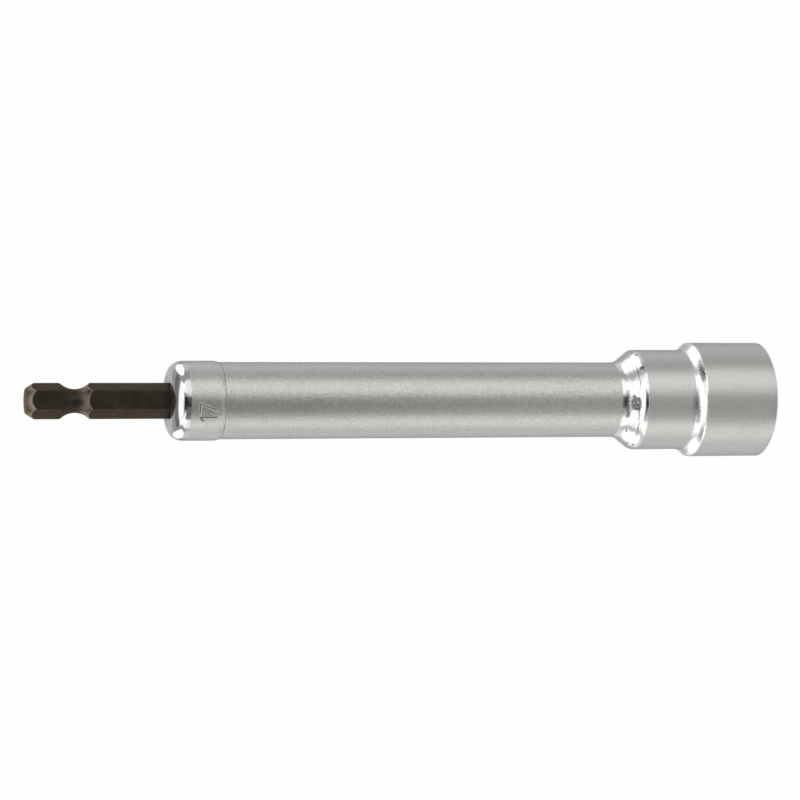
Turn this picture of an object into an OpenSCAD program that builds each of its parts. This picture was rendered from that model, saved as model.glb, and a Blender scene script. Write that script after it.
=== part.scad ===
// Deep socket for power drivers, for turning nuts far down a threaded rod.
// The axis lies on Z. The mouth stands at z = 0 and the drive shank points up.

/* [Nut socket] */
// Nut size across its flats
nut_af = 17; // [13:0.5:18]
// Room that the nut has across its flats
nut_room = 0.15; // [0.05:0.05:0.4]
// Depth of the hex from the mouth to the nut's seat
hex_depth = 14; // [8:0.5:15]
// Point angle of the drill that left the nut's conical seat
seat_angle = 118; // [90:1:140]
// Thickness of the ring of steel behind the nut's seat, on which the barrel's nose bears
seat_ledge_t = 1.8; // [1:0.1:3]
// How far the lead-in cone at the mouth reaches past the hex corners
lead_in_rim = 0.25; // [0.1:0.05:0.6]
// Angle between the lead-in cone and the axis
lead_in_angle = 45; // [30:1:60]

/* [Head] */
// Diameter at the mouth
head_d = 24; // [22.5:0.1:28]
// Height of the foot of the mouth section's shoulder
head_len = 17.5; // [16.8:0.1:22]
// Angle between the shoulder and the axis
shoulder_angle = 46; // [40:1:60]
// Rounding at the shoulder's outer edge
shoulder_crest_r = 0.3; // [0.1:0.05:0.6]
// Hollow fillet at the shoulder's foot
shoulder_fillet_r = 3.4; // [0.5:0.1:3.5]
// Diameter of the waist between the two shoulders
waist_d = 20.9; // [19:0.1:22.5]
// Length from the shoulder's foot to the foot of the neck cone
waist_len = 14.75; // [12:0.25:20]
// Angle between the neck cone and the axis
neck_angle = 37.3; // [30:0.1:50]
// Rounding at the neck cone's outer edge
neck_crest_r = 1.3; // [0.3:0.1:2.5]
// Hollow fillet where the neck cone runs out on the barrel
neck_fillet_r = 3.9; // [0.5:0.1:6]
// Height of the chamfer at the mouth's outer edge
rim_chamfer_len = 0.45; // [0.2:0.05:1]
// Width of the same chamfer, across the mouth's face
rim_chamfer_w = 0.65; // [0.2:0.05:1]

/* [Barrel] */
// Bore that lets the threaded rod pass
bore_d = 11; // [9:0.1:13]
// Wall of the barrel around its bore
barrel_wall = 2.3; // [1.8:0.1:3]
// Wall of the turned nose that sits in the head
nose_wall = 1.2; // [0.8:0.1:1.6]
// Chamfer on the barrel's edge at the collar, seen as the seam
seam_chamfer = 0.12; // [0.05:0.01:0.3]

/* [Collar] */
// Length of the collar between the barrel and its end face
collar_len = 10.4; // [9:0.1:15]
// How far the collar stands proud of the barrel
collar_lip = 0.26; // [0.1:0.02:0.6]
// Length of the bevel from the collar down to the barrel
collar_bevel_len = 0.85; // [0.5:0.05:2]
// Rounding of the collar's end
collar_corner_r = 2.9; // [1:0.1:3.3]
// Diameter of the countersink around the shank
countersink_d = 8.6; // [7.6:0.1:9.2]
// Depth of that countersink
countersink_depth = 0.8; // [0.4:0.1:1.5]
// Wall that the barrel loses where the collar's spigot enters it
spigot_step = 0.6; // [0.4:0.1:1.2]
// How far the spigot reaches past the end of the shank's tail
tail_cover = 0.3; // [0.1:0.1:2]

/* [Shank] */
// Hex size across the flats
shank_af = 6.35; // [6:0.05:6.6]
// Diameter that the hex corners are turned to
shank_corner_d = 7.22; // [7:0.02:7.6]
// Length of the shank outside the collar
shank_len = 28.5; // [26:0.1:60]
// Length of the hex held in the collar
hex_grip_len = 16; // [14:0.1:16.5]
// Distance from the tip to the middle of the ball groove
groove_from_tip = 9.8; // [8:0.1:12]
// Diameter left at the bottom of the ball groove
groove_neck_d = 4.75; // [4:0.05:5.5]
// Radius of the ball groove's floor
groove_r = 4.2; // [3:0.1:5]
// Rounding of the groove's edge towards the tip
groove_tip_edge_r = 0.9; // [0.2:0.1:1.5]
// Rounding of the groove's edge towards the collar
groove_root_edge_r = 0.3; // [0.1:0.1:1]
// Length of the chamfer at the tip
tip_len = 1.7; // [0.5:0.1:2.5]
// Diameter of the flat at the tip
tip_d = 5.1; // [3:0.1:6]

/* [Retaining ring] */
// Diameter of the shank's tail below the hex
tail_d = 4.8; // [4:0.1:5.4]
// Thickness of the collar's floor, which the tail passes
floor_t = 3; // [2:0.1:3.4]
// Depth of the ring's groove in the tail
ring_groove_depth = 0.55; // [0.3:0.05:0.8]
// Thickness of the ring
ring_t = 0.7; // [0.5:0.05:0.8]
// Width of the ring's section, out from the tail
ring_w = 1.9; // [1.2:0.1:2]
// Angle of the ring's open side
ring_mouth_angle = 70; // [40:1:110]
// Length of tail left past the ring
tail_end_len = 0.6; // [0.4:0.1:0.8]

/* [Length] */
// Length from the mouth to the shank's tip
overall_len = 155.7; // [120:0.1:300]

/* [Hidden] */
$fn = 96;
hex_sides = 6;
arc_steps = 10;
// Radial room of the pressed and brazed fits, and of the shank in its hex
fit_gap = 0.03;
// Radial room of the tail in the collar's floor
tail_gap = 0.15;
// Room along the axis behind a spigot or nose that seats on its shoulder
end_gap = 0.3;
// Room of the ring in its groove and below the collar's floor
ring_gap = 0.05;
// Radial room around the ring, in which it opens when it is fitted
ring_room = 0.6;
// Radial room around the rod where it passes the nut's seat
seat_hole_gap = 0.3;
// How far a cut runs past the surface that it opens
overrun = 1;
// Shares of a slope's length that its fillet and its crest may take
fillet_share = 0.7;
crest_share = 0.25;

head_r = head_d / 2;
waist_r = waist_d / 2;
bore_r = bore_d / 2;
barrel_r = bore_r + barrel_wall;
collar_r = barrel_r + collar_lip;
nose_r = bore_r + nose_wall;
spigot_r = bore_r + spigot_step;
hex_r = (nut_af + nut_room) / 2;
hex_corner_r = hex_r / cos(180 / hex_sides);
lead_in_r = hex_corner_r + lead_in_rim;
seat_hole_r = bore_r + seat_hole_gap;
seat_h = (hex_r - seat_hole_r) / tan(seat_angle / 2);

neck_foot_z = head_len + waist_len;
neck_fillet = fitted(neck_fillet_r, fillet_share, waist_r - barrel_r, neck_angle);
head_top_z = neck_foot_z + neck_fillet * tan(neck_angle / 2);
seat_back_z = hex_depth + seat_h + seat_ledge_t;
nose_end_z = seat_back_z + end_gap;
face_z = overall_len - shank_len;
seam_z = face_z - collar_len;
hex_floor_z = face_z - hex_grip_len;
floor_z = hex_floor_z - floor_t;

corner_r = shank_corner_d / 2;
groove_z = overall_len - groove_from_tip;
tail_r = tail_d / 2;
ring_seat_r = tail_r - ring_groove_depth;
ring_r = ring_seat_r + ring_gap + ring_w;
ring_top_z = floor_z - ring_gap;
ring_groove_end_z = ring_top_z - ring_t - ring_gap;
tail_end_z = ring_groove_end_z - tail_end_len;
spigot_end_z = tail_end_z - tail_cover;

// Points on an arc, from one angle to another, as [radius, height]
function arc(centre, r, from, to) =
    [for (i = [0:arc_steps]) let (a = from + (to - from) * i / arc_steps) centre + r * [cos(a), sin(a)]];

// A fillet's radius, held to a share of the slope that it runs into
function fitted(r, share, rise, angle) = min(r, share * rise / sin(angle) / tan(angle / 2));

// A forged step in the outline, from a larger radius up to a smaller one
function forged_step(top_r, foot_r, foot_z, angle, crest_r, fillet_r) =
    let (
        rise = top_r - foot_r,
        crest = fitted(crest_r, crest_share, rise, angle),
        fillet = fitted(fillet_r, fillet_share, rise, angle),
        crest_z = foot_z - rise / tan(angle) - crest * tan(angle / 2)
    )
    concat(
        arc([top_r - crest, crest_z], crest, 0, angle),
        arc([foot_r + fillet, foot_z + fillet * tan(angle / 2)], fillet, 180 + angle, 180)
    );

// The ball groove's outline: its floor, blended into the hex corners on both sides
function groove_swing(edge_r) = acos((groove_neck_d / 2 + groove_r - corner_r + edge_r) / (groove_r + edge_r));
function groove_edge_centre(edge_r, side) =
    [corner_r - edge_r, groove_z + side * (groove_r + edge_r) * sin(groove_swing(edge_r))];
function ball_groove() =
    let (
        root = groove_swing(groove_root_edge_r),
        tip = groove_swing(groove_tip_edge_r)
    )
    concat(
        arc(groove_edge_centre(groove_root_edge_r, -1), groove_root_edge_r, 0, root),
        arc([groove_neck_d / 2 + groove_r, groove_z], groove_r, 180 + root, 180 - tip),
        arc(groove_edge_centre(groove_tip_edge_r, 1), groove_tip_edge_r, -tip, 0)
    );

// A hex prism with its flats square to Y
module hex_prism(flat_r, z0, z1) {
    translate([0, 0, z0])
        cylinder(h = z1 - z0, r = flat_r / cos(180 / hex_sides), $fn = hex_sides);
}

// A round cut or a round bar between two heights
module round_bar(r, z0, z1) {
    translate([0, 0, z0]) cylinder(h = z1 - z0, r = r);
}

// A cone between two heights
module cone(r0, r1, z0, z1) {
    translate([0, 0, z0]) cylinder(h = z1 - z0, r1 = r0, r2 = r1);
}

// Forged head: nut socket in the mouth, two outer steps, and a rear bore for the barrel's nose
module socket_head() {
    lead_in_slope = tan(lead_in_angle);
    color("#c6c8c9")
    difference() {
        rotate_extrude() polygon(concat(
            [[0, 0], [head_r - rim_chamfer_w, 0], [head_r, rim_chamfer_len]],
            forged_step(head_r, waist_r, head_len, shoulder_angle, shoulder_crest_r, shoulder_fillet_r),
            forged_step(waist_r, barrel_r, neck_foot_z, neck_angle, neck_crest_r, neck_fillet_r),
            [[0, head_top_z]]
        ));
        hex_prism(hex_r, -overrun, hex_depth);
        cone(lead_in_r + overrun * lead_in_slope, 0, -overrun, lead_in_r / lead_in_slope);
        cone(hex_r, seat_hole_r, hex_depth, hex_depth + seat_h);
        round_bar(seat_hole_r, 0, head_top_z);
        round_bar(nose_r + fit_gap, seat_back_z, head_top_z + overrun);
    }
}

// Barrel: a tube with a turned nose for the head and a counterbore for the collar's spigot
module barrel() {
    chamfer_z = seam_z - seam_chamfer;
    counterbore_z = spigot_end_z - end_gap;
    color("#bfc1c2")
    rotate_extrude() polygon([
        [bore_r, nose_end_z], [nose_r, nose_end_z],
        [nose_r, head_top_z], [barrel_r, head_top_z],
        [barrel_r, chamfer_z], [barrel_r - seam_chamfer, seam_z],
        [spigot_r, seam_z], [spigot_r, counterbore_z],
        [bore_r, counterbore_z]
    ]);
}

// End collar: rounded end, blind hex for the shank, a floor with a hole for its tail
module end_collar() {
    ring_recess_r = ring_r + ring_room;
    corner = min(collar_corner_r, collar_len - collar_bevel_len);
    corner_z = face_z - corner;
    sink_r = countersink_d / 2;
    sink_slope = (sink_r - shank_af / 2) / countersink_depth;
    color("#c6c8c9")
    difference() {
        rotate_extrude() polygon(concat(
            [[0, spigot_end_z], [spigot_r - fit_gap, spigot_end_z], [spigot_r - fit_gap, seam_z]],
            [[barrel_r, seam_z], [collar_r, seam_z + collar_bevel_len]],
            arc([collar_r - corner, corner_z], corner, 0, 90),
            [[0, corner_z + corner]]
        ));
        hex_prism(shank_af / 2 + fit_gap, hex_floor_z, face_z + overrun);
        cone(shank_af / 2, sink_r + overrun * sink_slope, face_z - countersink_depth, face_z + overrun);
        round_bar(tail_r + tail_gap, spigot_end_z - overrun, hex_floor_z + overrun);
        round_bar(ring_recess_r, spigot_end_z - overrun, floor_z);
    }
}

// Drive shank: hex bar with a ball groove and a chamfered tip, and a round tail for the ring
module hex_shank() {
    color("#3f362e") {
        intersection() {
            hex_prism(shank_af / 2, hex_floor_z, overall_len);
            rotate_extrude() polygon(concat(
                [[0, hex_floor_z], [corner_r, hex_floor_z]],
                ball_groove(),
                [[corner_r, overall_len - tip_len], [tip_d / 2, overall_len], [0, overall_len]]
            ));
        }
        round_bar(tail_r, ring_top_z + ring_gap, hex_floor_z);
        round_bar(ring_seat_r, ring_groove_end_z, floor_z);
        round_bar(tail_r, tail_end_z, ring_groove_end_z);
    }
}

// Retaining ring: an open ring that snaps into the tail's groove below the collar's floor
module retaining_ring() {
    reach = ring_r + overrun;
    half_mouth = ring_mouth_angle / 2;
    color("#8a8d90")
    translate([0, 0, ring_top_z - ring_t])
    linear_extrude(ring_t)
    difference() {
        circle(ring_r);
        circle(ring_seat_r + ring_gap);
        polygon([[0, 0], [reach, -reach * tan(half_mouth)], [reach, reach * tan(half_mouth)]]);
    }
}

socket_head();
barrel();
end_collar();
hex_shank();
retaining_ring();
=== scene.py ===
import bmesh
import bpy
import math
from mathutils import Matrix, Vector, noise


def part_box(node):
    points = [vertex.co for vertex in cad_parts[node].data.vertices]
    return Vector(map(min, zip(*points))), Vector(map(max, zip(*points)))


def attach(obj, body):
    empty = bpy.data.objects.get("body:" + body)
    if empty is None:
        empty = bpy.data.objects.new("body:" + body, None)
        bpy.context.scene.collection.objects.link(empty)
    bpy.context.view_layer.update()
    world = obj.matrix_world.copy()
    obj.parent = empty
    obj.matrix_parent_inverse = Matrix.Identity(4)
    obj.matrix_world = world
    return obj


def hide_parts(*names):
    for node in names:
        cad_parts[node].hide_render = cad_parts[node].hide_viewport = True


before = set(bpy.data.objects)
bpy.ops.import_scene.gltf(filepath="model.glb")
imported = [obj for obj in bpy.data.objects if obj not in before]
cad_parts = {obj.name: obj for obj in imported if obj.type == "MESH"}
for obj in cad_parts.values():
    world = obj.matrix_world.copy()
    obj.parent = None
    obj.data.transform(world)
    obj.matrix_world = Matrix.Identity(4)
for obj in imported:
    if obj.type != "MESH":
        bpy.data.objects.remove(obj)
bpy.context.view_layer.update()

# Lengths are in millimetres until a mesh is made. Lights, floor and camera are in metres.
MM = 0.001


def turned_size(node):
    """Outer radius, lowest height and highest height of a CAD node, in millimetres."""
    low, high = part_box(node)
    return round(high.x / MM, 3), round(low.z / MM, 3), round(high.z / MM, 3)


# Places that the frame gives
head_r, _, head_top_z = turned_size("socket_head")
barrel_r, nose_end_z, seam_z = turned_size("barrel")
collar_r, spigot_end_z, face_z = turned_size("end_collar")
corner_r, tail_end_z, tip_z = turned_size("hex_shank")
_, ring_low_z, _ = turned_size("retaining_ring")

# Nut socket
nut_flat_r = 8.575
hex_depth = 14
seat_hole_r = 5.8
seat_half_angle = 59
lead_in_r = 10.152
lead_in_edge = 0.08
lead_in_rim = 0.05
broach_run = 0.3
ledge_t = 1.8

# Head
shoulder_foot_z = 17.5
shoulder_angle = 46
shoulder_crest_r = 0.3
shoulder_fillet_r = 3.4
waist_r = 10.45
waist_len = 14.75
neck_angle = 37.3
neck_crest_r = 1.3
neck_fillet_r = 3.9
rim_chamfer_len = 0.45
rim_chamfer_w = 0.65
rim_edge_r = 0.12
rim_end_z = 2.0
bright_above_shoulder = 0.25
bright_above_neck = 0.72
# Rings on the wall ahead of a step, and the longest span on each step
step_lead = 0.15
step_run = 1.0
shoulder_span = 0.13
neck_span = 0.08
# Faint line around the neck's cone, and the lumps and hollows that the dies left on both steps
neck_line_z = 29.85
neck_line_w = 0.13
neck_line_depth = 0.045
neck_line_wander = 0.25
broad_lump = 1.9
broad_lump_h = 0.04
fine_lump = 0.6
fine_lump_h = 0.009
fine_lump_shift = Vector((7, 3, 1))
# Where the lumps are: from how far below a step's foot to how far above it, and how fast they fade out
lumps_by_shoulder = (-1.9, 0.9)
lumps_by_neck = (-4.1, 0.6)
lump_fade = 0.5
outside_r = seat_hole_r + 1.5
# Dark scale on the steps, and painted shade: the first patch, near the camera's azimuth, is partly a painted
# dark reflection. How ragged a patch is, how far out its edge stands and how wide that edge is. Then
# each patch: the azimuth and height of its middle, half its reach around and along, and how dense it is
ragged_size = 0.8
ragged_depth = 0.5
patch_edge = 1.25
patch_fade = 0.5
DARK_PATCHES = [
    # Partly painted shade: a dark reflection near the camera's azimuth
    (-4.5, 32.1, 9.0, 0.7, 0.45),
    (-10.0, 30.6, 11.0, 0.95, 1.0),
    (23.5, 16.3, 10.0, 0.6, 0.75),
    (35.5, 28.9, 2.4, 0.4, 1.0),
    (60.0, 28.9, 2.6, 0.35, 1.0),
    (-73.0, 29.3, 3.0, 0.35, 1.0),
    (-54.0, 31.5, 5.0, 0.14, 1.0),
]

# Barrel and the fits at its ends
bore_r = 5.5
nose_r = 6.7
fit_gap = 0.03
end_gap = 0.3
spigot_r = 6.1
seam_chamfer = 0.12
barrel_end_run = 1

# Collar
bevel_len = 0.85
lip_r = 3.0
collar_corner_r = 2.9
countersink_r = 4.3
countersink_depth = 0.8
countersink_edge_r = 0.1
face_run = 0.2
floor_t = 3
tail_hole_r = 2.55
ring_recess_r = 4.4
# Haze between the satin wall and the polished corner: its length on the wall, its turn on the corner
haze_len = 0.5
haze_turn = 8

# Shank
shank_flat_r = 3.175
hex_grip_len = 16
groove_from_tip = 9.8
groove_neck_r = 2.375
groove_r = 4.2
groove_tip_edge_r = 0.9
groove_root_edge_r = 0.3
tip_len = 1.7
tip_r = 2.55
tip_edge = 0.08
tip_face_run = 0.1
# Width of the pale edge bands, which are wear and a painted highlight
worn_lit_edge_w = 0.07
facet_run = 0.4
tail_r = 2.4
tail_chamfer = 0.2
ring_seat_r = 1.85
ring_room = 0.05
# Painted highlight on the ball groove's wall towards the collar, which faces the top light, where the turned
# surface is also smoother: its reach, and how far below the groove's middle it starts and is in full
groove_light_reach = 4
groove_light_start = 0.5
groove_light_run = 1.5

# Sides of a round piece, the sharpest bend that is shaded smooth, and two tolerances
head_sides = 288
barrel_sides = 192
collar_sides = 144
smooth_up_to = 34
touching = 0.001
below_surface = 0.01

# Heights that follow from the sizes above
neck_foot_z = shoulder_foot_z + waist_len
seat_top_z = hex_depth + (nut_flat_r - seat_hole_r) / math.tan(math.radians(seat_half_angle))
seat_back_z = seat_top_z + ledge_t
counterbore_z = spigot_end_z - end_gap
hex_floor_z = face_z - hex_grip_len
floor_z = hex_floor_z - floor_t
groove_z = tip_z - groove_from_tip
ring_groove_low_z = ring_low_z - ring_room

# Engraved nut size: its digits, the width and depth of a stroke, its burr, and how dull and darkened with
# painted shade its bottom is
digit_h = 3.4
digit_foot_z = 118.6
stroke_w = 0.34
stroke_depth = 0.14
burr_w = 0.16
burr_h = 0.035
dull_and_shaded_share = 1.6
# Around the digits the wall is divided finely: beside them and between its sides, in degrees, and upwards
digit_margin = 4
digit_side_turn = 0.35
digit_clear_turn = 0.2
digit_span = 0.06
# Each digit: the azimuth where it starts, its width, and its strokes as shares of width and height
DIGITS = [
    (-34.2, 1.04, [[(0.0, 0.76), (0.72, 1.0)], [(0.72, 1.0), (0.72, 0.0)]]),
    (-22.2, 1.88, [[(0.0, 1.0), (1.0, 1.0)], [(1.0, 1.0), (0.32, 0.0)]]),
]

# Camera: where it looks from, the point that it looks at, its lens and its small tilt
view_azimuth = -4.2
view_elevation = 15.55
view_tilt = 0.147
view_distance = 0.5539
view_height = 0.07882
view_lift = 0.00004
lens_mm = 121.5

# Studio: how far the lamps and the cards stand from the middle of the object
lamp_distance = 0.72
card_distance = 0.7
near_card_distance = 0.15


def towards(azimuth, elevation):
    """Unit vector out from the axis. Azimuth 0 points to -Y and 90 to +X, in degrees."""
    a = math.radians(azimuth)
    e = math.radians(elevation)
    return Vector((math.sin(a) * math.cos(e), -math.cos(a) * math.cos(e), math.sin(e)))


def linear(hex_colour):
    """An sRGB hex colour as the linear colour that a shader takes."""
    shares = [int(hex_colour[i:i + 2], 16) / 255 for i in (1, 3, 5)]
    return [s / 12.92 if s <= 0.04045 else ((s + 0.055) / 1.055) ** 2.4 for s in shares] + [1.0]


def add_node(tree, kind, inputs=None, **settings):
    """Adds a node with its settings. Each input is a value, or an output that is linked to it."""
    added = tree.nodes.new(kind)
    for name, value in settings.items():
        setattr(added, name, value)
    for name, value in (inputs or {}).items():
        if isinstance(value, bpy.types.NodeSocket):
            tree.links.new(value, added.inputs[name])
        else:
            added.inputs[name].default_value = value
    return added


def new_finish(name, colour, roughness, metallic=1.0):
    """A material named for what it is, with the colour and roughness that it starts from."""
    material = bpy.data.materials.new(name)
    material.use_nodes = True
    shader = material.node_tree.nodes["Principled BSDF"]
    shader.inputs["Base Color"].default_value = linear(colour)
    shader.inputs["Metallic"].default_value = metallic
    shader.inputs["Roughness"].default_value = roughness
    return material


def present(shader, name):
    """What feeds an input of the shader now: the output linked to it, or its plain value."""
    links = shader.inputs[name].links
    return links[0].from_socket if links else shader.inputs[name].default_value


def mottle(material, size, stretch=(1, 1, 1), detail=2.0, colours=None, roughness=None, height=None):
    """Lays a random pattern into a finish, its grains about size millimetres across and stretched along X, Y
    and Z. Where given, it runs between two colours or two roughnesses, or stands out by a height."""
    tree = material.node_tree
    shader = tree.nodes["Principled BSDF"]
    place = add_node(tree, "ShaderNodeTexCoord").outputs["Object"]
    scale = [1 / (size * MM * s) for s in stretch]
    scaled = add_node(tree, "ShaderNodeVectorMath", {0: place, 1: scale}, operation="MULTIPLY")
    inputs = {"Vector": scaled.outputs[0], "Scale": 1.0, "Detail": detail}
    grains = add_node(tree, "ShaderNodeTexNoise", inputs)
    inputs = {"Value": grains.outputs[0], "From Min": 0.3, "From Max": 0.7}
    share = add_node(tree, "ShaderNodeMapRange", inputs)
    share = share.outputs["Result"]
    if colours:
        inputs = {0: share, 6: linear(colours[0]), 7: linear(colours[1])}
        blend = add_node(tree, "ShaderNodeMix", inputs, data_type="RGBA")
        tree.links.new(blend.outputs[2], shader.inputs["Base Color"])
    if roughness:
        blend = add_node(tree, "ShaderNodeMix", {0: share, 2: roughness[0], 3: roughness[1]})
        tree.links.new(blend.outputs[0], shader.inputs["Roughness"])
    if height:
        inputs = {"Height": share, "Distance": height * MM}
        if shader.inputs["Normal"].links:
            inputs["Normal"] = present(shader, "Normal")
        bump = add_node(tree, "ShaderNodeBump", inputs)
        tree.links.new(bump.outputs["Normal"], shader.inputs["Normal"])
    return share


def show_through(material, share, colour, roughness):
    """Lets another colour and roughness show through a finish where a share is 1."""
    tree = material.node_tree
    shader = tree.nodes["Principled BSDF"]
    inputs = {0: share, 6: present(shader, "Base Color"), 7: linear(colour)}
    blend = add_node(tree, "ShaderNodeMix", inputs, data_type="RGBA")
    tree.links.new(blend.outputs[2], shader.inputs["Base Color"])
    inputs = {0: share, 2: present(shader, "Roughness"), 3: roughness}
    blend = add_node(tree, "ShaderNodeMix", inputs)
    tree.links.new(blend.outputs[0], shader.inputs["Roughness"])


def tint_at_grazing(material, colour):
    """Keeps a finish its tint where it is seen almost edge on, as an oxide film does."""
    material.node_tree.nodes["Principled BSDF"].inputs["Specular Tint"].default_value = linear(colour)


def satin_chrome_plate(name, darkest, lightest, grain_height):
    """Chrome plate over steel that was blasted and brushed: soft, wide highlights, clouded by a fine grain.
    The grain is 0.5 mm, coarser than the blasting left it, so that it shows in the picture."""
    material = new_finish(name, darkest, 0.4)
    mottle(material, 6.0, roughness=(0.38, 0.42))
    mottle(material, 0.5, detail=3.0, colours=(darkest, lightest), height=grain_height)
    return material


def satin_chrome_on_barrel():
    """Satin plate on the barrel, where the grain is plain to see."""
    return satin_chrome_plate("satin_chrome_on_barrel", "#B0AFAB", "#C2C2BD", 0.02)


def satin_chrome_on_head():
    """Satin plate on the head, brushed smoother than the barrel."""
    return satin_chrome_plate("satin_chrome_on_head", "#B4B4B0", "#BEBFBA", 0.01)


def marked_chrome_plate():
    """The same satin plate on the collar, dull in the bottom of the engraved digits and darker there with
    painted shade.
    """
    material = satin_chrome_plate("marked_chrome_plate", "#B2B1AD", "#C4C3BF", 0.02)
    cut = add_node(material.node_tree, "ShaderNodeAttribute", attribute_name="cut").outputs["Fac"]
    # Painted shade: the stroke bottoms darker in colour, as well as rougher
    show_through(material, cut, "#7E7C79", 0.5)
    return material


def chrome_on_forging(name, dull, clear, roughness):
    """Chrome plate over the forged skin, which the brushing missed: bright, lumpy, with dark scale, and in
    one patch a painted dark reflection.
    """
    material = new_finish(name, clear, roughness)
    mottle(material, 0.9, roughness=(roughness - 0.04, roughness + 0.04), height=0.01)
    speckle = mottle(material, 0.4, detail=3.0, colours=(dull, clear))
    tree = material.node_tree
    # Dark scale, and in one patch painted shade for a dark reflection
    scale = add_node(tree, "ShaderNodeAttribute", attribute_name="scale_and_painted_shade").outputs["Fac"]
    bare_specks = 0.85
    full_cover = 1.4
    gaps = add_node(tree, "ShaderNodeMath", {0: speckle, 1: -bare_specks}, operation="MULTIPLY")
    inputs = {0: scale, 1: full_cover, 2: gaps.outputs[0]}
    broken = add_node(tree, "ShaderNodeMath", inputs, operation="MULTIPLY_ADD", use_clamp=True)
    show_through(material, broken.outputs[0], "#605D5A", 0.3)
    return material


def polished_chrome_plate():
    """Chrome plate over a turned and polished corner: a mirror with a trace of haze."""
    material = new_finish("polished_chrome_plate", "#CFCFD1", 0.09)
    mottle(material, 2.0, roughness=(0.07, 0.11))
    mottle(material, 0.5, colours=("#C6C6C9", "#D4D4D6"))
    return material


def hazy_chrome_plate():
    """Chrome plate where the corner's polish runs out into the satin wall: soft, blurred reflections."""
    material = new_finish("hazy_chrome_plate", "#C4C4C4", 0.2)
    mottle(material, 0.5, detail=3.0, colours=("#BEBEBE", "#CACACA"), roughness=(0.16, 0.26), height=0.006)
    return material


def faced_chrome_plate():
    """Chrome plate over the turned end face: half bright, with faint rings and a lilac cast."""
    material = new_finish("faced_chrome_plate", "#C0BEC1", 0.26)
    mottle(material, 0.2, stretch=(30, 30, 1), colours=("#B8B6B9", "#C8C6C9"), roughness=(0.22, 0.3))
    return material


def broached_steel():
    """Nickelled steel cut by a broach: darker, with lines along the axis."""
    material = new_finish("broached_steel", "#8E8B87", 0.38)
    mottle(material, 0.3, stretch=(1, 1, 40), colours=("#86837F", "#98958F"), roughness=(0.3, 0.5))
    return material


def bored_steel():
    """Bare bored steel inside, with turning rings."""
    material = new_finish("bored_steel", "#7D7A76", 0.42)
    mottle(material, 0.3, stretch=(40, 40, 1), colours=("#74716D", "#86837F"), roughness=(0.34, 0.52))
    return material


def brown_oxide_steel():
    """Drawn hex steel, oxidised brown-black in a hot bath and oiled: semi-matt and warm, with drawing lines.
    In the turned ball groove it is smoother, and a painted highlight runs from dark to a light brown towards
    the collar, where the wall faces the top light."""
    material = new_finish("brown_oxide_steel", "#3B342E", 0.48)
    mottle(material, 2.2, colours=("#362F29", "#403831"))
    mottle(material, 0.25, stretch=(1, 1, 12), detail=3.0, roughness=(0.43, 0.54), height=0.01)
    # Painted highlight: the groove's collar-side wall lighter and smoother where it faces the top light
    groove_light = add_node(material.node_tree, "ShaderNodeAttribute", attribute_name="painted_groove_light").outputs["Fac"]
    show_through(material, groove_light, "#60564C", 0.34)
    tint_at_grazing(material, "#F8EFE6")
    return material


def oxide_on_turned_steel():
    """The same oxide, thinner on the turned chamfer: lighter and browner, with turning lines."""
    material = new_finish("oxide_on_turned_steel", "#776B60", 0.4)
    mottle(material, 0.22, stretch=(30, 30, 1), colours=("#6C6055", "#82756A"), roughness=(0.34, 0.46))
    tint_at_grazing(material, "#E2CDB0")
    return material


def worn_and_lit_oxide_edge():
    """Edges where the bit holder has rubbed the oxide through to the steel: pale, warm and broken up, and
    made paler still as a painted highlight where the edges catch the light.
    """
    material = new_finish("worn_and_lit_oxide_edge", "#86765F", 0.4)
    mottle(material, 0.4, detail=3.0, colours=("#4C4133", "#A08E72"), roughness=(0.34, 0.48))
    tint_at_grazing(material, "#E2CDB0")
    return material


def phosphated_spring_steel():
    """Stamped spring steel, phosphated dark grey, with a crystalline grain."""
    material = new_finish("phosphated_spring_steel", "#6C6E70", 0.5)
    mottle(material, 0.15, colours=("#626466", "#767879"), roughness=(0.42, 0.6), height=0.006)
    return material


def arc(centre_r, centre_z, radius, start, end, steps):
    """Points (radius, height) on an arc between two angles in degrees."""
    points = []
    for i in range(steps + 1):
        a = math.radians(start + (end - start) * i / steps)
        points.append((centre_r + radius * math.cos(a), centre_z + radius * math.sin(a)))
    return points


def forged_step(top_r, foot_r, foot_z, angle, crest_r, fillet_r):
    """A step from a larger radius up to a smaller one: a rounded crest, a cone and a hollow fillet."""
    half = math.tan(math.radians(angle / 2))
    crest_z = foot_z - (top_r - foot_r) / math.tan(math.radians(angle)) - crest_r * half
    crest = arc(top_r - crest_r, crest_z, crest_r, 0, angle, 10)
    fillet = arc(foot_r + fillet_r, foot_z + fillet_r * half, fillet_r, 180 + angle, 180, 14)
    return crest + fillet


def divided(points, longest):
    """The same outline with no span longer than the given length."""
    result = [points[0]]
    for (r0, z0), (r1, z1) in zip(points, points[1:]):
        parts = max(1, math.ceil(math.hypot(r1 - r0, z1 - z0) / longest))
        result += [(r0 + (r1 - r0) * i / parts, z0 + (z1 - z0) * i / parts) for i in range(1, parts + 1)]
    return result


def rounded(before, corner, after, radius, steps=3):
    """Points that round the corner of an outline."""
    here = Vector(corner)
    back = Vector(before) - here
    ahead = Vector(after) - here
    back.normalize()
    ahead.normalize()
    half = back.angle(ahead) / 2
    shorter = min((Vector(before) - here).length, (Vector(after) - here).length)
    cut = min(radius / math.tan(half), 0.45 * shorter)
    start = here + back * cut
    end = here + ahead * cut
    points = []
    for i in range(steps + 1):
        t = i / steps
        blend = start.lerp(here, t).lerp(here.lerp(end, t), t)
        points.append((blend.x, blend.y))
    return points


def even_angles(count):
    """Angles in degrees, evenly around the axis."""
    return [360 * i / count for i in range(count)]


def round_ring(angles, r, z):
    """A ring of one radius at one height."""
    return [(r, z)] * len(angles)


def hex_reach(angle, flat_r):
    """Distance from the axis to a hexagon whose flats are square to Y."""
    return flat_r / math.cos(math.radians(angle % 60 - 30))


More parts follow.
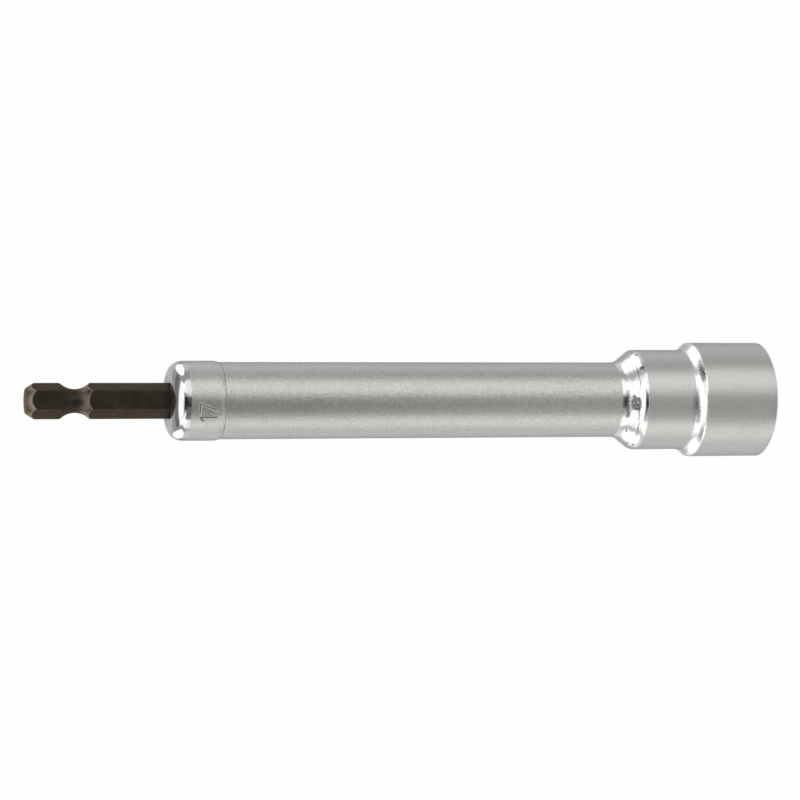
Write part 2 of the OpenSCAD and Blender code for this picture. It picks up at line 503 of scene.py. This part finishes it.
def loft(name, angles, bands, finishes, closed=True, shape=None):
    """A piece made of rings around the axis. A band is a ring and the finish from there to the next one.
    Each point of a ring is (radius, height). An open loft gets a flat end on its first and last ring.
    shape, where given, moves a point: it takes angle, radius and height and gives the new radius."""
    count = len(angles)
    turns = [(math.cos(math.radians(a)), math.sin(math.radians(a))) for a in angles]
    points = []
    for ring, _ in bands:
        for angle, (c, s), (r, z) in zip(angles, turns, ring):
            if shape is not None:
                r = shape(angle, r, z)
            points.append((r * c * MM, r * s * MM, z * MM))
    faces = []
    slots = []
    names = list(finishes)
    for i in range(len(bands) if closed else len(bands) - 1):
        low = i * count
        high = (i + 1) % len(bands) * count
        for j in range(count):
            k = (j + 1) % count
            faces.append((low + j, low + k, high + k, high + j))
            slots.append(names.index(bands[i][1]))
    if not closed:
        for first, finish in ((0, bands[0][1]), ((len(bands) - 1) * count, bands[-1][1])):
            ring = bands[first // count][0]
            points.append((0, 0, ring[0][1] * MM))
            for j in range(count):
                faces.append((first + j, first + (j + 1) % count, len(points) - 1))
                slots.append(names.index(finish))
    mesh = bpy.data.meshes.new(name)
    mesh.from_pydata(points, [], faces)
    for finish in names:
        mesh.materials.append(finishes[finish])
    mesh.polygons.foreach_set("material_index", slots)
    mesh.polygons.foreach_set("use_smooth", [True] * len(faces))
    mesh.validate()
    turn_faces_outwards(mesh)
    mesh.set_sharp_from_angle(angle=math.radians(smooth_up_to))
    piece = bpy.data.objects.new(name, mesh)
    bpy.context.scene.collection.objects.link(piece)
    return piece


def turn_faces_outwards(mesh):
    """Makes every face look out of the solid."""
    work = bmesh.new()
    work.from_mesh(mesh)
    bmesh.ops.recalc_face_normals(work, faces=work.faces)
    work.to_mesh(mesh)
    work.free()


def dress(piece, node):
    """The piece stands for its CAD node, which is hidden, and hangs from the root body."""
    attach(piece, "root")
    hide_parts(node)


def on_forged_step(r, z):
    """1 on the outside of the two forged steps, 0 elsewhere, with a short run between."""
    weight = 0.0
    for foot_z, (below, above) in ((shoulder_foot_z, lumps_by_shoulder), (neck_foot_z, lumps_by_neck)):
        low = foot_z + below
        high = foot_z + above
        if r > outside_r and low < z < high:
            weight = min(1.0, (z - low) / lump_fade, (high - z) / lump_fade)
    return weight


def forged_lumps(angle, r, z):
    """Hollows that the dies left on the two forged steps, and the faint line around the neck's cone."""
    weight = on_forged_step(r, z)
    if weight == 0.0:
        return r
    a = math.radians(angle)
    spot = Vector((r * math.cos(a), r * math.sin(a), z))
    broad = noise.noise(spot / broad_lump)
    small = noise.noise(spot / fine_lump + fine_lump_shift)
    off_line = (z - neck_line_z - neck_line_wander * broad) / neck_line_w
    line = neck_line_depth * math.exp(-off_line ** 2)
    return r - weight * ((0.5 - 0.5 * broad) * broad_lump_h + (0.5 - 0.5 * small) * fine_lump_h + line)


def mark_scale_and_painted_shade(piece):
    """Notes, point by point, how much dark scale the dies pressed into the skin, and where a patch paints a
    dark reflection.
    """
    shares = piece.data.attributes.new("scale_and_painted_shade", "FLOAT", "POINT")
    for point, share in zip(piece.data.vertices, shares.data):
        x, y, z = point.co / MM
        if on_forged_step(math.hypot(x, y), z) == 0.0:
            continue
        azimuth = math.degrees(math.atan2(x, -y))
        ragged = noise.noise(Vector((x, y, z)) / ragged_size) * ragged_depth
        for around, height, half_turn, half_height, density in DARK_PATCHES:
            off = math.hypot((azimuth - around) / half_turn, (z - height) / half_height)
            cover = min(1.0, max(0.0, (patch_edge + ragged - off) / patch_fade))
            share.value = max(share.value, density * cover)


def socket_head(finishes):
    """Forged head: nut socket in the mouth, two outer steps and the rear bore for the barrel's nose."""
    angles = even_angles(head_sides)
    chamfer_in = (head_r - rim_chamfer_w, 0.0)
    chamfer_out = (head_r, rim_chamfer_len)
    rim = rounded((lead_in_r, 0.0), chamfer_in, chamfer_out, rim_edge_r)
    rim += rounded(chamfer_in, chamfer_out, (head_r, rim_end_z), rim_edge_r)
    shoulder = forged_step(
        head_r, waist_r, shoulder_foot_z, shoulder_angle, shoulder_crest_r, shoulder_fillet_r
    )
    neck = forged_step(waist_r, barrel_r, neck_foot_z, neck_angle, neck_crest_r, neck_fillet_r)
    outer = [(point, "satin") for point in rim]
    shoulder_low = (head_r, shoulder[0][1] - step_lead)
    outer += [((head_r, rim_end_z), "satin"), ((head_r, shoulder_low[1] - step_run), "satin")]
    bright_end = shoulder_foot_z + bright_above_shoulder
    line = divided([shoulder_low] + shoulder, shoulder_span)
    outer += [(p, "soft" if p[1] < bright_end else "satin") for p in line]
    neck_low = (waist_r, neck[0][1] - step_lead)
    outer += [((waist_r, neck_low[1] - step_run), "satin")]
    bright_end = neck_foot_z + bright_above_neck
    line = divided([neck_low] + neck, neck_span)
    outer += [(p, "bright" if p[1] < bright_end else "satin") for p in line]
    bands = [(round_ring(angles, r, z), finish) for (r, z), finish in outer]
    bands[-1] = (bands[-1][0], "bored")
    rear_bore_r = nose_r + fit_gap
    bands += [
        (round_ring(angles, rear_bore_r, head_top_z), "bored"),
        (round_ring(angles, rear_bore_r, seat_back_z), "bored"),
        (round_ring(angles, seat_hole_r, seat_back_z), "bored"),
        (round_ring(angles, seat_hole_r, seat_top_z), "bored"),
        (round_ring(angles, nut_flat_r, hex_depth), "broached"),
    ]
    reach = [hex_reach(a, nut_flat_r) for a in angles]
    bands += [
        ([(h, hex_depth) for h in reach], "broached"),
        ([(h, hex_depth - broach_run) for h in reach], "broached"),
        ([(h, lead_in_r - h + lead_in_edge * 3) for h in reach], "broached"),
        ([(h, lead_in_r - h + lead_in_edge) for h in reach], "satin"),
        ([(h + lead_in_edge, lead_in_r - h - lead_in_edge) for h in reach], "satin"),
        (round_ring(angles, lead_in_r - lead_in_rim, lead_in_rim), "satin"),
        (round_ring(angles, lead_in_r + lead_in_edge, 0.0), "satin"),
    ]
    piece = loft("forged_socket_head", angles, bands, finishes, shape=forged_lumps)
    mark_scale_and_painted_shade(piece)
    dress(piece, "socket_head")


def barrel(finishes):
    """Tube with a turned nose in the head and a counterbore for the collar's spigot."""
    angles = even_angles(barrel_sides)
    outer = [
        (bore_r, nose_end_z, "bored"), (nose_r, nose_end_z, "bored"), (nose_r, head_top_z, "bored"),
        (barrel_r, head_top_z, "satin"), (barrel_r, head_top_z + barrel_end_run, "satin"),
        (barrel_r, seam_z - barrel_end_run, "satin"), (barrel_r, seam_z - seam_chamfer, "satin"),
        (barrel_r - seam_chamfer, seam_z, "satin"),
        (spigot_r, seam_z, "bored"), (spigot_r, counterbore_z, "bored"), (bore_r, counterbore_z, "bored"),
    ]
    bands = [(round_ring(angles, r, z), finish) for r, z, finish in outer]
    piece = loft("barrel_tube", angles, bands, finishes)
    dress(piece, "barrel")


def distance_to_stroke(u, w, start, end):
    """Distance from a point to a straight stroke, all in millimetres."""
    along = Vector(end) - Vector(start)
    off = Vector((u, w)) - Vector(start)
    t = max(0.0, min(1.0, off.dot(along) / along.length_squared))
    return (off - along * t).length


def from_stroke(angle, z):
    """Distance from a point on the collar's wall to the nearest stroke of the digits, if one is close."""
    reach = stroke_w / 2 + burr_w
    nearest = reach
    if not digit_foot_z - reach < z < digit_foot_z + digit_h + reach:
        return nearest
    azimuth = (angle + 90 + 180) % 360 - 180
    for start, width, strokes in DIGITS:
        u = math.radians(azimuth - start) * collar_r
        w = z - digit_foot_z
        for (u0, w0), (u1, w1) in strokes:
            ends = ((u0 * width, w0 * digit_h), (u1 * width, w1 * digit_h))
            nearest = min(nearest, distance_to_stroke(u, w, *ends))
    return nearest


def engraved(angle, r, z):
    """The digits cut into the collar's wall, with a raised burr along each side of a stroke."""
    if abs(r - collar_r) > fit_gap:
        return r
    half = stroke_w / 2
    nearest = from_stroke(angle, z)
    if nearest < half:
        return r - stroke_depth * math.cos(nearest / half * math.pi / 2)
    return r + burr_h * math.sin((nearest - half) / burr_w * math.pi)


def mark_cuts(piece):
    """Notes, point by point, where the bottom of an engraved stroke is."""
    shares = piece.data.attributes.new("cut", "FLOAT", "POINT")
    for point, share in zip(piece.data.vertices, shares.data):
        x, y, z = point.co / MM
        if collar_r - stroke_depth - fit_gap < math.hypot(x, y) < collar_r - touching:
            nearest = from_stroke(math.degrees(math.atan2(y, x)), z)
            share.value = max(0.0, min(1.0, dull_and_shaded_share - 2 * dull_and_shaded_share * nearest / stroke_w))


def collar_angles():
    """Angles around the collar, fine behind the digits and coarse elsewhere, with the hexagon's corners."""
    first = DIGITS[0][0] - digit_margin - 90
    last = DIGITS[-1][0] + math.degrees(DIGITS[-1][1] / collar_r) + digit_margin - 90
    fine = [first + digit_side_turn * i for i in range(int((last - first) / digit_side_turn) + 1)]
    low = first - digit_clear_turn
    high = last + digit_clear_turn
    coarse = even_angles(collar_sides)
    kept = [a for a in coarse if not low < (a + 180) % 360 - 180 < high or a % 60 == 0]
    return sorted(set(round(a % 360, 4) for a in kept + fine))


def end_collar(finishes):
    """Collar with a rounded end, a blind hex hole for the shank, a floor with a hole for its tail."""
    angles = collar_angles()
    corner_z = face_z - collar_corner_r
    digits_low = digit_foot_z - stroke_w - burr_w
    digits_high = digit_foot_z + digit_h + stroke_w + burr_w
    wall = divided([(collar_r, digits_low), (collar_r, digits_high)], digit_span)
    lip = rounded((barrel_r, seam_z), (collar_r, seam_z + bevel_len), (collar_r, corner_z), lip_r, 6)
    flat_r = collar_r - collar_corner_r
    outer = [((spigot_r - fit_gap, seam_z), "satin"), ((barrel_r, seam_z), "satin")]
    outer += [(p, "marked") for p in lip]
    outer += [(p, "marked") for p in wall]
    outer += [((collar_r, corner_z - haze_len), "hazy")]
    outer += [(p, "hazy") for p in arc(flat_r, corner_z, collar_corner_r, 0, haze_turn, 3)[:-1]]
    outer += [(p, "polished") for p in arc(flat_r, corner_z, collar_corner_r, haze_turn, 90, 32)]
    outer[-1] = (outer[-1][0], "faced")
    outer += [((flat_r - face_run, face_z), "faced")]
    sink_foot = (shank_flat_r, face_z - countersink_depth)
    edge = rounded((flat_r, face_z), (countersink_r, face_z), sink_foot, countersink_edge_r)
    outer += [(p, "faced") for p in edge]
    outer[0] = (outer[0][0], "bored")
    bands = [(round_ring(angles, r, z), finish) for (r, z), finish in outer]
    hole = [(hex_reach(a, shank_flat_r + fit_gap), face_z - countersink_depth) for a in angles]
    sink_slope = (countersink_r - shank_flat_r) / countersink_depth
    mouth = [(h, face_z - (countersink_r - h) / sink_slope) for h, _ in hole]
    bands += [
        (mouth, "bored"),
        ([(h, hex_floor_z) for h, _ in hole], "bored"),
        (round_ring(angles, tail_hole_r, hex_floor_z), "bored"),
        (round_ring(angles, tail_hole_r, floor_z), "bored"),
        (round_ring(angles, ring_recess_r, floor_z), "bored"),
        (round_ring(angles, ring_recess_r, spigot_end_z), "bored"),
        (round_ring(angles, spigot_r - fit_gap, spigot_end_z), "bored"),
    ]
    piece = loft("end_collar_turned", angles, bands, finishes, shape=engraved)
    mark_cuts(piece)
    dress(piece, "end_collar")


def groove_half_width(reach, edge_r):
    """How far from the middle of the ball groove its outline stands at the given distance from the axis."""
    centre_r = groove_neck_r + groove_r
    swing = math.acos((centre_r - corner_r + edge_r) / (groove_r + edge_r))
    on_floor = math.sqrt(max(0.0, groove_r ** 2 - (centre_r - reach) ** 2))
    if on_floor <= groove_r * math.sin(swing):
        return on_floor
    edge_at = (groove_r + edge_r) * math.sin(swing)
    return edge_at - math.sqrt(max(0.0, edge_r ** 2 - (reach - corner_r + edge_r) ** 2))


def groove_reach(off, edge_r):
    """Distance from the axis to the ball groove's outline, at a distance along the axis from its middle."""
    centre_r = groove_neck_r + groove_r
    swing = math.acos((centre_r - corner_r + edge_r) / (groove_r + edge_r))
    if off <= groove_r * math.sin(swing):
        return centre_r - math.sqrt(groove_r ** 2 - off ** 2)
    edge_at = (groove_r + edge_r) * math.sin(swing)
    return corner_r - edge_r + math.sqrt(max(0.0, edge_r ** 2 - min(edge_r, edge_at - off) ** 2))


def shank_angles():
    """Angles that meet the turned corners, with more of them close by so that the flats stay flat."""
    corner_half = 30 - math.degrees(math.acos(shank_flat_r / corner_r))
    close_by = [corner_half + 0.8, corner_half + 2.5]
    one_side = [0, corner_half] + close_by + [8, 14, 20, 26]
    sector = one_side + [30] + [60 - a for a in reversed(one_side[1:])]
    return [60 * i + a for i in range(6) for a in sector]


def groove_wall(reach, edge_r, side, steps=12):
    """Rings from the groove's edge on one side down to its middle. side is -1 below and 1 above."""
    rings = []
    for i in range(steps):
        share = 1 - math.cos(math.pi / 2 * i / steps)
        ring = []
        for h in reach:
            off = groove_half_width(h, edge_r)
            off -= worn_lit_edge_w * (1 - share)
            off *= 1 - share
            ring.append((groove_reach(off, edge_r), groove_z + side * off))
        rings.append(ring)
    return rings


def mark_painted_groove_light(piece):
    """Notes, point by point, the painted highlight in the ball groove, strongest by the collar, where the
    wall faces the top light.
    """
    shares = piece.data.attributes.new("painted_groove_light", "FLOAT", "POINT")
    for point, share in zip(piece.data.vertices, shares.data):
        x, y, z = point.co / MM
        reach = min(hex_reach(math.degrees(math.atan2(y, x)), shank_flat_r), corner_r)
        if abs(z - groove_z) < groove_light_reach and math.hypot(x, y) < reach - below_surface:
            share.value = max(0.0, min(1.0, (groove_z - z - groove_light_start) / groove_light_run))


def drive_shank(finishes):
    """Hex drive shank with a ball groove and a chamfered tip, and a round tail for the ring."""
    angles = shank_angles()
    reach = [min(hex_reach(a, shank_flat_r), corner_r) for a in angles]
    bands = [
        (round_ring(angles, tail_r - tail_chamfer, tail_end_z), "turned"),
        (round_ring(angles, tail_r, tail_end_z + tail_chamfer), "turned"),
        (round_ring(angles, tail_r, ring_groove_low_z), "turned"),
        (round_ring(angles, ring_seat_r, ring_groove_low_z), "turned"),
        (round_ring(angles, ring_seat_r, floor_z), "turned"),
        (round_ring(angles, tail_r, floor_z), "turned"),
        (round_ring(angles, tail_r, hex_floor_z), "turned"),
        ([(h, hex_floor_z) for h in reach], "oxide"),
    ]
    root = [groove_half_width(h, groove_root_edge_r) for h in reach]
    crown = [groove_half_width(h, groove_tip_edge_r) for h in reach]
    bands += [
        ([(h, groove_z - d - facet_run) for h, d in zip(reach, root)], "oxide"),
        # Pale edge bands: wear, and a painted highlight on edges that catch the light
        ([(h, groove_z - d - worn_lit_edge_w) for h, d in zip(reach, root)], "worn_and_lit"),
    ]
    bands += [(ring, "oxide") for ring in groove_wall(reach, groove_root_edge_r, -1)]
    bands += [(round_ring(angles, groove_neck_r, groove_z), "oxide")]
    bands += [(ring, "oxide") for ring in reversed(groove_wall(reach, groove_tip_edge_r, 1))]
    bands += [
        ([(h, groove_z + d + worn_lit_edge_w) for h, d in zip(reach, crown)], "oxide"),
        ([(h, groove_z + d + facet_run) for h, d in zip(reach, crown)], "oxide"),
    ]
    slope = tip_len / (corner_r - tip_r)
    scallop = [tip_z - (h - tip_r) * slope for h in reach]
    bands += [
        ([(h, z - facet_run) for h, z in zip(reach, scallop)], "oxide"),
        ([(h, z - worn_lit_edge_w) for h, z in zip(reach, scallop)], "worn_and_lit"),
        ([(h - worn_lit_edge_w / slope, z + worn_lit_edge_w) for h, z in zip(reach, scallop)], "turned"),
        (round_ring(angles, tip_r + tip_edge, tip_z - tip_edge * slope), "worn_and_lit"),
        (round_ring(angles, tip_r - tip_face_run, tip_z), "turned"),
    ]
    piece = loft("hex_drive_shank", angles, bands, finishes, closed=False)
    mark_painted_groove_light(piece)
    dress(piece, "hex_shank")


def retaining_ring():
    """The CAD ring keeps its shape and gets its finish."""
    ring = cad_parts["retaining_ring"]
    ring.data.materials.clear()
    ring.data.materials.append(phosphated_spring_steel())


def studio_cove():
    """A pale floor far below that sweeps up behind: white to the camera, and it takes the shadow."""
    floor_height = -0.75
    front_y = -0.3
    back_y = 1.25
    sweep_r = 0.3
    top = 0.08
    half_width = 0.34
    sweep_steps = 12
    white_share = 0.985
    line = [(front_y, floor_height)]
    for i in range(sweep_steps + 1):
        a = math.radians(90 * i / sweep_steps)
        line.append((back_y - sweep_r + sweep_r * math.sin(a), floor_height + sweep_r * (1 - math.cos(a))))
    line.append((back_y, top))
    points = [(x, y, z) for y, z in line for x in (-half_width, half_width)]
    faces = [(2 * i, 2 * i + 1, 2 * i + 3, 2 * i + 2) for i in range(len(line) - 1)]
    mesh = bpy.data.meshes.new("studio_cove")
    mesh.from_pydata(points, [], faces)
    mesh.polygons.foreach_set("use_smooth", [True] * len(faces))
    cove = bpy.data.objects.new("studio_cove", mesh)
    cove.matrix_world = Matrix.Rotation(math.radians(view_azimuth), 4, "Z")
    bpy.context.scene.collection.objects.link(cove)
    material = bpy.data.materials.new("white_paper")
    material.use_nodes = True
    tree = material.node_tree
    paper = tree.nodes["Principled BSDF"]
    paper.inputs["Base Color"].default_value = linear("#F4F4F2")
    paper.inputs["Roughness"].default_value = 0.9
    glow = add_node(tree, "ShaderNodeEmission", {"Color": (1, 1, 1, 1), "Strength": 1.0})
    path = add_node(tree, "ShaderNodeLightPath").outputs
    inputs = {0: path["Is Camera Ray"], 1: path["Is Glossy Ray"]}
    seen = add_node(tree, "ShaderNodeMath", inputs, operation="ADD")
    inputs = {0: seen.outputs[0], 1: path["Is Transmission Ray"]}
    seen = add_node(tree, "ShaderNodeMath", inputs, operation="ADD", use_clamp=True)
    share = add_node(tree, "ShaderNodeMath", {0: seen.outputs[0], 1: white_share}, operation="MULTIPLY")
    inputs = {0: share.outputs[0], 1: paper.outputs[0], 2: glow.outputs[0]}
    mixed = add_node(tree, "ShaderNodeMixShader", inputs)
    tree.links.new(mixed.outputs[0], tree.nodes["Material Output"].inputs["Surface"])
    mesh.materials.append(material)


def aim(thing, place, target):
    """Puts a lamp or a panel at a place, with its -Z side towards the target."""
    turn = (target - place).to_track_quat("-Z", "Y")
    thing.matrix_world = Matrix.Translation(place) @ turn.to_matrix().to_4x4()


def softbox(name, azimuth, elevation, width, height, radiance, colour, shape="RECTANGLE"):
    """A soft lamp around the object, its width and height in metres and its radiance that of a surface that
    glows. Azimuths are taken from the camera's own."""
    lamp = bpy.data.lights.new(name, "AREA")
    lamp.shape = shape
    lamp.size = width
    lamp.size_y = height
    filled = math.pi / 4 if shape == "ELLIPSE" else 1.0
    lamp.energy = radiance * math.pi * width * height * filled
    lamp.color = linear(colour)[:3]
    box = bpy.data.objects.new(name, lamp)
    box.visible_camera = False
    bpy.context.scene.collection.objects.link(box)
    middle = Vector((0, 0, view_height))
    aim(box, middle + towards(view_azimuth + azimuth, elevation) * lamp_distance, middle)


def card(name, azimuth, elevation, width, height, colour, distance=card_distance):
    """A dark card that keeps light out of a part of the reflections."""
    points = [(x * width / 2, y * height / 2, 0) for x, y in ((-1, -1), (1, -1), (1, 1), (-1, 1))]
    mesh = bpy.data.meshes.new(name)
    mesh.from_pydata(points, [], [(0, 1, 2, 3)])
    material = new_finish(name + "_paper", colour, 1.0, metallic=0.0)
    mesh.materials.append(material)
    flag = bpy.data.objects.new(name, mesh)
    flag.visible_camera = False
    bpy.context.scene.collection.objects.link(flag)
    middle = Vector((0, 0, view_height))
    aim(flag, middle + towards(view_azimuth + azimuth, elevation) * distance, middle)


def studio_light():
    """Tall softboxes beside the camera and a tent of them above, with a dark gap at the camera."""
    world = bpy.data.worlds.new("studio_air")
    world.use_nodes = True
    sky = world.node_tree.nodes["Background"]
    sky.inputs["Color"].default_value = linear("#B3B3B4")
    sky.inputs["Strength"].default_value = 1.0
    bpy.context.scene.world = world
    softbox("upper_strip", 39, -16, 0.63, 1.5, 0.99, "#FFFFFF", shape="ELLIPSE")
    softbox("lower_strip", -68.8, -16, 0.51, 1.5, 0.98, "#FFFFFF", shape="ELLIPSE")
    softbox("upper_side", 115, -20, 0.58, 1.2, 0.42, "#F2F6FF", shape="ELLIPSE")
    softbox("lower_side", -117, -20, 0.58, 1.2, 0.52, "#F2F6FF", shape="ELLIPSE")
    softbox("front_low_fill", -17, -29, 0.45, 0.22, 0.4, "#FFFFFF")
    softbox("top_box", -11, 55, 2.1, 0.54, 1.1, "#FFFFFF")
    softbox("lower_strip_top", -51, 15, 0.36, 0.3, 0.98, "#FFFFFF")
    softbox("upper_high_side", 110, 20, 0.76, 0.43, 1.3, "#FFFFFF", shape="ELLIPSE")
    softbox("lower_high_side", -124, 19, 0.76, 0.4, 1.3, "#FFFFFF", shape="ELLIPSE")
    softbox("rear_fill", 180, 20, 1.0, 0.5, 0.2, "#FFFFFF")
    card("camera_flag", -7, 7, 0.46, 0.5, "#1A1A1A")
    card("low_flag", -17, -52, 0.44, 0.3, "#1A1A1A")
    card("collar_flag", -36.5, 11, 0.095, 0.08, "#8C8C8C", near_card_distance)
    card("ceiling_card", 180, 82, 1.6, 0.42, "#8C8C8C")


def camera():
    """The photograph's viewpoint. The mouth points right in the frame and +X points up."""
    back = towards(view_azimuth, view_elevation)
    axis_right = Vector((0, 0, -1))
    axis_right = (axis_right - back * axis_right.dot(back)).normalized()
    axis_up = back.cross(axis_right)
    tilt = math.radians(view_tilt)
    right = math.cos(tilt) * axis_right - math.sin(tilt) * axis_up
    up = math.sin(tilt) * axis_right + math.cos(tilt) * axis_up
    lens = bpy.data.cameras.new("camera")
    lens.sensor_width = 36
    lens.lens = lens_mm
    eye = bpy.data.objects.new("camera", lens)
    bpy.context.scene.collection.objects.link(eye)
    place = Vector((0, 0, view_height)) + back * view_distance + up * view_lift
    turn = Matrix((right, up, back)).transposed()
    eye.matrix_world = Matrix.Translation(place) @ turn.to_4x4()
    bpy.context.scene.camera = eye


bpy.context.scene.view_settings.view_transform = "Standard"
camera()
studio_cove()
studio_light()

head_chrome = satin_chrome_on_head()
chrome = {
    "satin": satin_chrome_on_barrel(),
    "marked": marked_chrome_plate(),
    "bright": chrome_on_forging("bright_chrome_on_forging", "#D0D0CF", "#DEDEDD", 0.22),
    "soft": chrome_on_forging("soft_chrome_on_forging", "#DCDCDB", "#EEEEED", 0.27),
    "hazy": hazy_chrome_plate(),
    "polished": polished_chrome_plate(),
    "faced": faced_chrome_plate(),
    "broached": broached_steel(),
    "bored": bored_steel(),
}
shank_steel = {
    "oxide": brown_oxide_steel(),
    "turned": oxide_on_turned_steel(),
    "worn_and_lit": worn_and_lit_oxide_edge(),
}
socket_head(chrome | {"satin": head_chrome})
barrel(chrome)
end_collar(chrome)
drive_shank(shank_steel)
retaining_ring()
